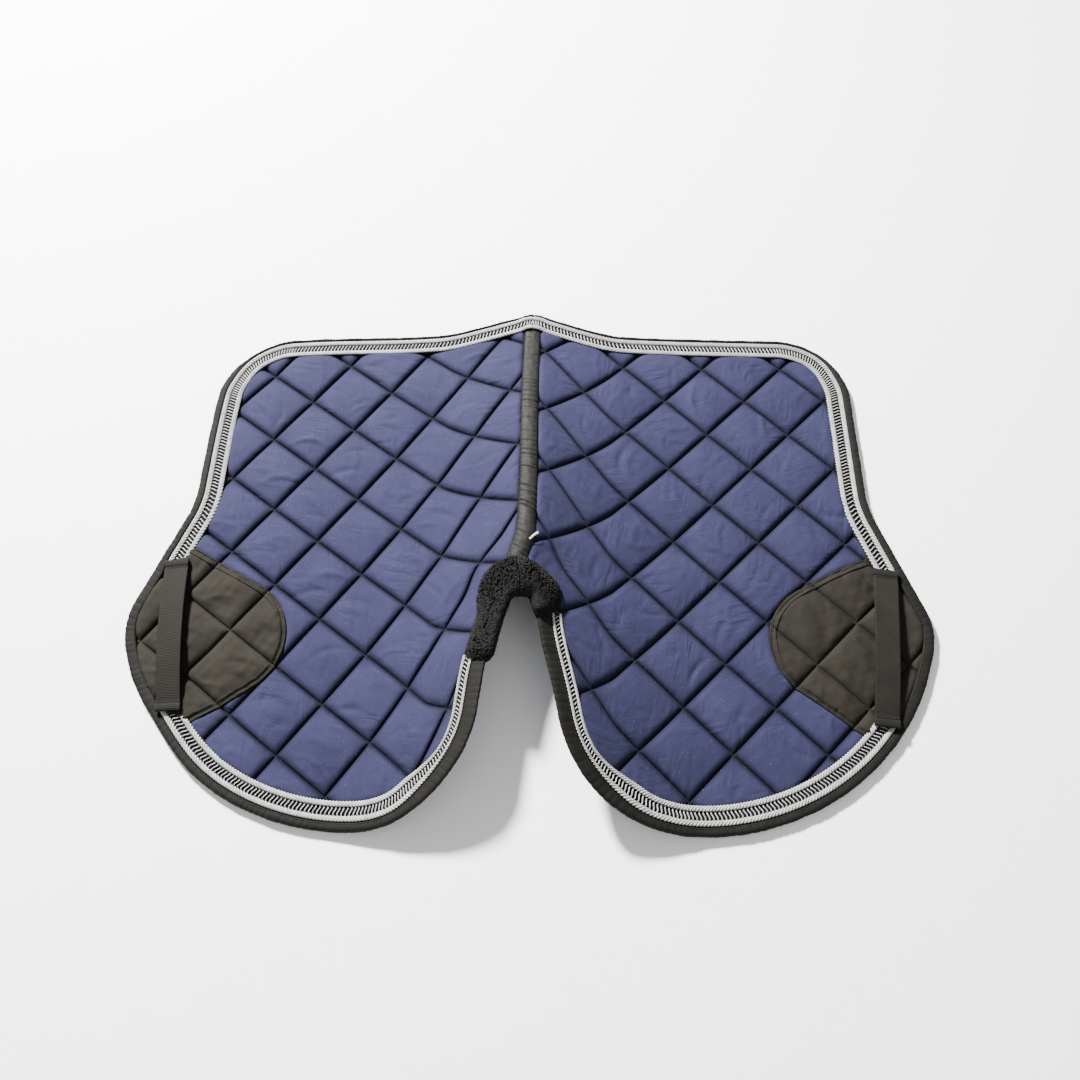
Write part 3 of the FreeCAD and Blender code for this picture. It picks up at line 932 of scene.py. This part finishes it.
def binding_stitches(side):
    """A row of stitches near the binding's inner side."""
    pitch, stitch = 3.6, 2.6
    first = np.arange(REAR_PEAK + 2, FLEECE_RUN[side] - pitch, pitch)
    run = first[:, None] + np.linspace(0, stitch, 4)
    x, y = pad_edge.at(run, binding_width(run) - 1.5)
    dip = np.array([-0.35, 0.15, 0.15, -0.35])
    middle = placed(SIDES[side], x, y, 10.2 + BINDING_LIFT * over_spine(run) + dip)
    made = round_tubes(f"{side}_binding_stitches", middle, 0.33, 5, dark_thread)
    return across_fold(made, side, "dark_thread")


CORD_TWIST = 12.6  # millimetres for one turn of a cord's three strands
RUNG_PITCH = 4.9
TRIM_LEVEL = 7.6
TRIM_LIFT = 2.4  # how much higher the trim is on the spine tape
TRIM_TUCK = 8.0  # how far the trims go in under the strap's ends


def cord(name, side, start, end, offset, phase):
    """A flattened rope of three twisted strands, laid along the edge at an offset from the binding."""
    run = np.arange(start, end, 1.1)
    strand = np.arange(3)[:, None]
    angle = math.tau * (run / CORD_TWIST + strand / 3) + phase
    runs = np.broadcast_to(run, angle.shape)
    scale = trim_scale(runs)
    depth = binding_width(runs) + scale * (offset + 1.75 * np.cos(angle))
    height = trim_level(run) + 2.0 + 0.95 * np.sin(angle)
    tip = 1 - 0.6 * np.clip(1 - np.minimum(runs - start, end - runs) / 2.0, 0, 1)
    turn = circle(8)
    depths = depth[..., None] + (1.55 * tip * scale)[..., None] * np.cos(turn)
    heights = height[..., None] + (1.2 * tip)[..., None] * np.sin(turn)
    x, y = pad_edge.at(np.broadcast_to(runs[..., None], depths.shape), depths)
    uv = stacked(runs[..., None], turn * 2)
    return tubes(name, placed(SIDES[side], x, y, heights), uv, white_rope, SIDES[side])


def trim_level(run):
    """The trim is sewn on the cover, and over the spine on its tape."""
    return TRIM_LEVEL + TRIM_LIFT * over_spine(run, 22)


def rung_tubes(name, side, start, end):
    """Rungs run across the edge, so each is a tube about its own line."""
    first = np.arange(start + 1.5, end - 2.5, RUNG_PITCH)
    t = np.linspace(-1, 1, 9)
    run = first[:, None] + 1.3 * np.sin(t * 2.0)
    depth = binding_width(run) + trim_scale(run) * (12 + 4.4 * t)
    x, y = pad_edge.at(run, depth)
    middle = placed(SIDES[side], x, y, trim_level(run) + 1.9 - 1.0 * t**4)
    return round_tubes(name, middle, 0.66, 8, white_rope)


def braid_ground_strip(name, side, start, end):
    """The dark tape that the cords and rungs are sewn to, laid from the binding's edge so that its near-black
    also paints the shade in the gaps.
    """
    run = np.arange(start + 0.5, end - 0.5, 3.0)
    width = binding_width(run)
    far = width + trim_scale(run) * TRIM_WIDTH
    level = trim_level(run)
    section = [
        (width - 1, level - 3.5), (width - 1, level + 0.2), (width + 1, level + 0.7),
        ((width + far) / 2, level + 0.8), (far - 1.4, level + 0.7),
        (far, level - 0.2), (far + 0.2, level - 3.5),
    ]
    depth, height = profile(run, section)
    return swept(name, SIDES[side], run, depth, height, braid_ground)


def trim(side, part, start, end):
    """Two ropes and a ladder of rungs on a dark ground. The rear run goes on over the spine."""
    rear = part == "rear"
    attach = across_fold if rear else on_panel
    nodes = ["spine_trim"] if rear else []
    named = f"{side}_{part}"
    for where, offset, phase in (("outer", 4, 0), ("inner", 20, 2)):
        rope = cord(f"{named}_{where}_rope", side, start, end, offset, phase)
        attach(rope, side, "white_cord", f"{named}_{where}_cord", *nodes)
    rungs = rung_tubes(f"{named}_ladder_rungs", side, start, end)
    attach(rungs, side, "ladder_braid", f"{named}_ladder_braid", *nodes)
    ground = braid_ground_strip(f"{named}_braid_ground", side, start, end)
    attach(ground, side, "ladder_braid")


# ---- girth patch and strap ----


PATCH_HIGHEST = 13.3  # just under the strap
HEM_WIDTH = 8.8


def patch_height(side, x, y):
    """The patch is sewn over the cover and quilted with it, and gathers into soft folds beside the seams."""
    height, rise = puffs(side, x, y)
    place = stacked(x, y)
    folds = waves(place, 40, 90 if side == "left" else 91) * 1.5 + waves(place, 13, 92) * 0.6
    return np.minimum(height + 1.5 + folds * (0.35 + 0.65 * rise), PATCH_HIGHEST)


def girth_patch(side):
    sign = SIDES[side]

    def keep(x, y):
        depth, run = pad_edge.nearest(x, y)
        return (patch_edge.nearest(x, y)[0] > 2) & (depth > binding_width(run) - 4)

    x, y, faces = net_mesh(side, keep)
    height = patch_height(side, x, y)
    top = placed(sign, x, y, height)
    bottom = placed(sign, x, y, np.minimum(UNDERSIDE, height - 0.8))
    uv = stacked(x, y)
    made = closed_sheet(f"{side}_quilted_girth_patch", top, bottom, faces, uv, patch_twill, sign)
    on_panel(made, side, "girth_patch", f"{side}_girth_patch")
    return made


def patch_run():
    """Distances round the patch's outline between the places where it goes under the trim."""
    run = np.arange(0, patch_edge.length, 0.65)
    x, y = patch_edge.at(run, 0)
    inside = pad_edge.nearest(np.minimum(x, 520), y)[0] > 6
    return run[inside & (x < 500)]


def patch_hem(side):
    """The patch's turned hem: two folds side by side, with fine ribs across them."""
    sign = SIDES[side]
    run = patch_run()
    across = np.linspace(0, 1, 17)
    depth = np.broadcast_to(-0.6 + HEM_WIDTH * across, (len(run), len(across)))
    x, y = patch_edge.at(np.broadcast_to(run[:, None], depth.shape), depth)
    level = patch_height(side, x, y)
    level = np.maximum(level, patch_height(side, *patch_edge.at(run, 9.0))[:, None] - 3.0)
    rounded_top = 1.5 * np.sqrt(np.clip(1 - (2 * across - 1) ** 6, 0, 1))
    groove = 0.5 * np.exp(-(((depth - 4.0) / 0.6) ** 2))
    ribs = 0.32 * np.sin(math.tau * run / 2.6)[:, None] + 0.25 * creases(run, 9.0, 0.2, 55)[:, None]
    top = level + rounded_top - groove + ribs * np.sin(math.pi * across) ** 0.5
    depths = np.concatenate([depth, depth[:, -1:] - 0.3, depth[:, :1] + 0.3], 1)
    heights = np.concatenate([top, level[:, -1:] - 3.0, level[:, :1] - 3.0], 1)
    made = swept(f"{side}_patch_hem", sign, run, depths, heights, hem_twill, edge=patch_edge)
    return on_panel(made, side, "patch_edging", f"{side}_girth_patch_edging")


STRAP_FOLD_LEVEL = 13.9  # the webbing's middle line where it is folded under
STRAP_LEVEL = 15.4  # and above that, where it is sewn down
STRAP_START = np.array(STRAP_TOP_END)
STRAP_LENGTH = np.linalg.norm(np.array(STRAP_LOW_END) - STRAP_START)
STRAP_AHEAD = (np.array(STRAP_LOW_END) - STRAP_START) / STRAP_LENGTH
STRAP_ASIDE = np.array([STRAP_AHEAD[1], -STRAP_AHEAD[0]])


def on_strap(side, distance, across, height):
    """Points at a distance from the strap's upper end and off its middle line."""
    x, y = (STRAP_START[k] + STRAP_AHEAD[k] * distance + STRAP_ASIDE[k] * across for k in (0, 1))
    return placed(SIDES[side], x, y, height)


def strap_line():
    """The webbing's middle line as (distance, height): folded under at both ends, and arched between."""
    bend = (STRAP_LEVEL - STRAP_FOLD_LEVEL) / 2
    middle = STRAP_FOLD_LEVEL + bend
    turn = np.linspace(-math.pi / 2, math.pi / 2, 9)
    loop = [(1 - bend * math.cos(angle), middle + bend * math.sin(angle)) for angle in turn]
    half = [(STRAP_TAB, STRAP_FOLD_LEVEL), *loop, (STRAP_TAB, STRAP_LEVEL)]
    free = STRAP_LENGTH - 2 * STRAP_TAB
    shares = np.linspace(0, 1, 61)[1:-1]
    arch = [(STRAP_TAB + free * s, STRAP_LEVEL + STRAP_RISE * (1 - (2 * s - 1) ** 2)) for s in shares]
    return half + arch + [(STRAP_LENGTH - d, z) for d, z in reversed(half)]


def strap_band(side):
    """Ribbed webbing with thicker selvedges, rolled at its two folded ends."""
    line = np.array(strap_line())
    run = np.concatenate([[0], np.cumsum(np.linalg.norm(np.diff(line, axis=0), axis=1))])
    steps = np.arange(0, run[-1], 0.42)
    distance, z = (np.interp(steps, run, line[:, k]) for k in (0, 1))
    slope_d, slope_z = np.gradient(distance, steps), np.gradient(z, steps)
    across = np.linspace(-1, 1, 25)
    ribs = 0.17 * np.cos(math.tau * steps / 2.1)[:, None] * np.ones_like(across)
    selvedge = 0.28 * np.exp(-(((np.abs(across) - 0.93) / 0.07) ** 2))
    rim = np.sqrt(np.clip(1 - across**16, 0, 1))
    half_thick = (0.62 + ribs + selvedge) * rim
    sway = 0.5 * np.sin(steps / 47.0)[:, None] * across**2
    from_end = np.minimum(distance, STRAP_LENGTH - distance)[:, None]
    roll = np.sqrt(np.clip(1 - ((from_end - 5) / 4.5) ** 2, 0, 1)) * (z[:, None] > 15.3)

    def surface(offset):
        d = distance[:, None] - slope_z[:, None] * offset
        height = z[:, None] + slope_d[:, None] * offset + np.where(z[:, None] > 15.5, sway, 0) + 1.3 * roll
        return on_strap(side, d, across * STRAP_WIDTH / 2 * (1 + 0.04 * roll), height)

    points = np.concatenate([surface(half_thick), surface(-half_thick)[:, ::-1]], 1)
    w = np.concatenate([across, across[::-1]]) * STRAP_WIDTH / 2
    uv = stacked(w, steps[:, None])
    made = strip(f"{side}_webbing_strap", points, uv, webbing, SIDES[side])
    nodes = [f"{side}_girth_strap{part}" for part in ("", "_upper_fold", "_lower_fold")]
    return on_panel(made, side, "webbing", *nodes)


def strap_tacks(side):
    """Bar tacks: two dense rows of stitches across each sewn end, joined at their sides."""
    lines = []
    for base in (0, STRAP_LENGTH - STRAP_TAB):
        for inset in (2.2, STRAP_TAB - 2.6):
            for w in np.arange(-12.0, 12.1, 0.9):
                lines.append([(base + inset - 0.9, w), (base + inset + 0.9, w + 0.45)])
        for w in (-12.4, 12.4):
            for d in np.arange(2.6, STRAP_TAB - 3.2, 1.8):
                lines.append([(base + d, w), (base + d + 1.5, w)])
    ends = np.array(lines)
    t = np.linspace(0, 1, 4)
    line = ends[:, :1] + (ends[:, 1:] - ends[:, :1]) * t[None, :, None]
    level = STRAP_LEVEL + 0.75 + np.array([-0.4, 0.25, 0.25, -0.4])
    middle = on_strap(side, line[..., 0], line[..., 1], level)
    made = round_tubes(f"{side}_strap_tacks", middle, 0.38, 5, dark_thread)
    return on_panel(made, side, "dark_thread", f"{side}_girth_strap_stitching")


# ---- spine ----


def tape_strip(name, half_width, low, high, start, end, seed, material, slot, *nodes):
    """A strip along the spine with a folded edge on each side, puckered across where it is sewn."""
    y = np.arange(start, end, 1.3)
    t = np.linspace(-1, 1, 21)
    flare = 1 + 0.22 * smooth((20 - y) / 80)[:, None]
    x = half_width * flare * t + 0.4 * np.sin(y / 37)[:, None]
    slant = 5.0 * t * (0.35 + smooth((120 - y[:, None]) / 130))
    fold = 1.3 * creases(y[:, None] + slant, 8.0, 0.17, seed)
    fold = fold + 0.8 * creases(y[:, None] + 1.3 * slant, 4.1, 0.25, seed + 1)
    crest = 0.5 * np.exp(-(((t - 0.78) / 0.1) ** 2)) + 0.35 * np.exp(-(((t + 0.84) / 0.08) ** 2))
    ripple = 0.25 * waves(stacked(x, y[:, None]), 12, seed)
    rim = np.sqrt(np.clip(1 - t**4, 0, 1))
    droop = 1.4 * smooth((np.abs(t) - 0.75) / 0.25)
    height = low + (high - low + crest + ripple - 1.25 * fold) * rim
    top = placed(1, x, y[:, None], height - droop)
    under = placed(1, x * 0.97, y[:, None], np.full(x.shape, low) - droop)
    across = np.concatenate([x, x[:, ::-1] + 30], 1)
    uv = stacked(across, y[:, None])
    made = strip(name, np.concatenate([top, under[:, ::-1]], 1), uv, material, -1)
    return on_spine(made, slot, *nodes)


def spine():
    over, under = ["binding", "spine_tape", "spine_wadding"], ["lining", "spine_lining_tape"]
    tape_strip("spine_ridge_tape", 12.6, 4.0, 10.4, -62, 351, 60, spine_cloth, *over)
    tape_strip("spine_under_tape", 11.0, 0.9, 0.1, -60, 346, 61, binding_tape, *under)


def label():
    """A small blank folded label whose end sticks out of the tape's seam."""
    t = np.linspace(0, 1, 14)
    along = np.array([8.0, -24.0])[None] + t[:, None] * np.array([8.0, 11.0])
    rise = 9.6 + 3.0 * np.sin(t * 2.4) + 0.8 * t
    w = np.linspace(-1.3, 1.3, 5)
    x = along[:, :1] + 0.8 * w
    y = along[:, 1:] - 0.6 * w
    high, low = (placed(1, x, y, rise[:, None] + half) for half in (0.35, -0.35))
    across = np.concatenate([w, w[::-1] + 4])
    uv = stacked(across, (t * 12)[:, None])
    made = strip("blank_seam_label", np.concatenate([high, low[:, ::-1]], 1), uv, label_white, 1)
    return on_spine(made, "seam_label", "seam_label")


# ---- wither fleece ----

CURLS = 6500
CURL_RINGS = 7
CURL_SIDES = 4
FLEECE_TOP_WIDTH = 41.0
FLEECE_LEG_WIDTH = {"left": 13.0, "right": 25.0}
FLEECE_LEG_OUTSET = {"left": 1.5, "right": 6.0}


def fleece_section(side, run, angle):
    """The fleece's surface at a distance round the edge and an angle round its section: depth and height."""
    notch = smooth((run - NOTCH_TOP + 52) / 50)
    width = FLEECE_LEG_WIDTH[side] + (FLEECE_TOP_WIDTH - FLEECE_LEG_WIDTH[side]) * notch
    outset = FLEECE_LEG_OUTSET[side] + (FLEECE_OUTSET - FLEECE_LEG_OUTSET[side]) * notch
    taper = np.sqrt(np.clip((run - FLEECE_RUN[side]) / 9, 0.02, 1))
    middle = (width - outset) / 2
    reach = (width + outset) / 2
    across = np.sign(np.cos(angle)) * np.abs(np.cos(angle)) ** 0.8
    depth = middle + reach * across * (0.55 + 0.45 * taper)
    height = 6.0 + 12.2 * np.sin(angle) * taper * (1 - 0.25 * (np.cos(angle) > 0) * np.cos(angle) ** 2)
    return depth, height


def curl_tubes(surface, s, turn, chance):
    """A short bent tube of pile at each place on a surface, and the share of its own colour at its points
    against painted shade, highest on the curl's outer arc.
    """
    here = surface(s, turn)
    step_s = unit(surface(s + 0.5, turn) - here)
    normal = unit(np.cross(step_s, surface(s, turn + 0.02) - here))
    normal *= np.sign((normal * (here - surface(s, turn + math.pi))).sum(1))[:, None]
    spin = chance.uniform(0, math.tau, CURLS)[:, None]
    tangent = step_s * np.cos(spin) + np.cross(normal, step_s) * np.sin(spin)
    binormal = np.cross(normal, tangent)[:, None]
    radius = chance.uniform(0.8, 1.5, CURLS)[:, None, None] * MM
    arc = np.linspace(-0.9, 4.1, CURL_RINGS)[None, :, None]
    rise = np.linspace(-0.5, 0.5, CURL_RINGS)[None, :, None] * 1.6 * MM
    line = here[:, None] + normal[:, None] * (0.4 * MM + radius * (np.sin(arc) * 0.8 + 0.35))
    line = line + tangent[:, None] * radius * np.cos(arc) + binormal * rise
    ahead = unit(np.gradient(line, axis=1))
    first = unit(binormal - ahead * (binormal * ahead).sum(2)[..., None])
    second = np.cross(ahead, first)
    ring = circle(CURL_SIDES)[None, None, :, None]
    thick = 0.7 * MM * np.array([0.5, 0.9, 1.0, 1.0, 1.0, 0.9, 0.5])[None, :, None, None]
    curls = line[:, :, None] + thick * (first[:, :, None] * np.cos(ring) + second[:, :, None] * np.sin(ring))
    # painted light: the share rises towards each curl's outer arc, and is 0 at its ends
    return curls, np.clip(np.sin(arc) * 1.3 - 0.3, 0, 1) * np.ones((CURLS, 1, CURL_SIDES))


def wither_fleece(side):
    """A thick curly channel over the notch's edge, from the spine down one panel."""
    sign = SIDES[side]
    end_run = FLEECE_RUN[side]
    run = np.linspace(end_run, NOTCH_TOP, 90)
    angle = circle(64)
    runs, angles = np.meshgrid(run, angle, indexing="ij")

    def surface(s, turn):
        depth, height = fleece_section(side, s, turn)
        x, y = pad_edge.at(s, depth)
        return placed(sign, x, y, height)

    points = surface(runs, angles)
    uneven = waves(points / MM, 9, 70) * 0.7 + waves(points / MM, 4, 71, 12) * 0.9
    outward = unit(points - points.mean(1, keepdims=True))
    seam = smooth(np.abs(points[..., :1]) / (3 * MM))
    body = points + outward * (uneven[..., None] - 1.3) * MM * seam
    rows, columns = body.shape[:2]

    chance = np.random.default_rng(80 if side == "left" else 81)
    s = chance.uniform(end_run + 0.5, NOTCH_TOP - 1.0, CURLS)
    turn = chance.uniform(0, math.tau, CURLS)
    curls, tip = curl_tubes(surface, s, turn, chance)
    faces = tube_faces(1, rows, columns)
    faces += (np.array(tube_faces(*curls.shape[:3])) + rows * columns).tolist()
    every = np.concatenate([body.reshape(-1, 3), curls.reshape(-1, 3)])
    made = piece(f"{side}_curly_fleece", every, faces, every[:, :2] / MM, fleece_pile, sign)
    # painted shade: the body's points get no tip share, so they are near-black
    shade_by(made, "tip", np.concatenate([np.zeros(rows * columns), tip.ravel()]))
    across_fold(made, side, "fleece", f"{side}_wither_fleece", "spine_fleece")
    return made


# ---- the pad ----

spine()
label()
for side in SIDES:
    quilted_panel(side)
    quilting(side)
    lining(side)
    edge_binding(side)
    binding_stitches(side)
    trim(side, "rear", REAR_PEAK, REAR_END + TRIM_TUCK)
    trim(side, "flap", FLAP_START - TRIM_TUCK, FLEECE_RUN[side] + 6)
    girth_patch(side)
    patch_hem(side)
    strap_band(side)
    strap_tacks(side)
    wither_fleece(side)

# ---- stage, lights and camera ----


FLOOR_REACH = 6.0  # metres


def stage():
    nodes = Nodes("pale_studio_floor")
    grain = nodes.noise(30, 3, vector=nodes.place)
    colour = nodes.colours(grain, [(0.3, (0.93, 0.93, 0.935)), (0.7, (0.95, 0.95, 0.95))])
    material = nodes.finish(colour, 0.9, nodes.bump(grain, 0.05, 0.2), specular=0.1)
    mesh = bpy.data.meshes.new("floor")
    corners = [(FLOOR_REACH * x, FLOOR_REACH * y, 0) for x, y in ((-1, -1), (1, -1), (1, 1), (-1, 1))]
    mesh.from_pydata(corners, [], [(0, 1, 2, 3)])
    mesh.uv_layers.new(name="cloth")
    mesh.materials.append(material)
    floor = bpy.data.objects.new("floor", mesh)
    bpy.context.scene.collection.objects.link(floor)
    floor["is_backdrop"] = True


def lamp(name, place, size, power, aim=(0, 0, 0.02)):
    light = bpy.data.lights.new(name, "AREA")
    light.shape = "DISK"
    light.size = size
    light.energy = power
    made = bpy.data.objects.new(name, light)
    made.location = place
    made.rotation_euler = (Vector(aim) - Vector(place)).to_track_quat("-Z", "Y").to_euler()
    bpy.context.scene.collection.objects.link(made)


def world():
    made = bpy.data.worlds.new("studio")
    made.use_nodes = True
    background = made.node_tree.nodes["Background"].inputs
    background["Color"].default_value = (0.97, 0.98, 1.0, 1)
    background["Strength"].default_value = 0.66
    bpy.context.scene.world = made


def camera():
    """Above the withers, looking down and towards the rear."""
    data = bpy.data.cameras.new("camera")
    data.sensor_width = 36.0
    data.lens = 30.62
    data.clip_start = 0.05
    made = bpy.data.objects.new("camera", data)
    place = Vector((0.0497, -0.5011, 1.0593))
    forward = Vector((-0.0233, 0.4350, -0.9001)).normalized()
    right = Vector((0.99945, 0.03134, -0.01073))
    right = (right - forward * right.dot(forward)).normalized()
    up = right.cross(forward)
    rows = [(right[k], up[k], -forward[k], place[k]) for k in range(3)]
    made.matrix_world = Matrix([*rows, (0, 0, 0, 1)])
    bpy.context.scene.collection.objects.link(made)
    bpy.context.scene.camera = made


stage()
world()
camera()
lamp("key", (-1.35, 1.9, 1.9), size=0.4, power=740)
lamp("fill", (1.4, -1.6, 2.2), size=2.0, power=14)

[[list(corner) for corner in box] for box in (cad_box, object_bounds())]
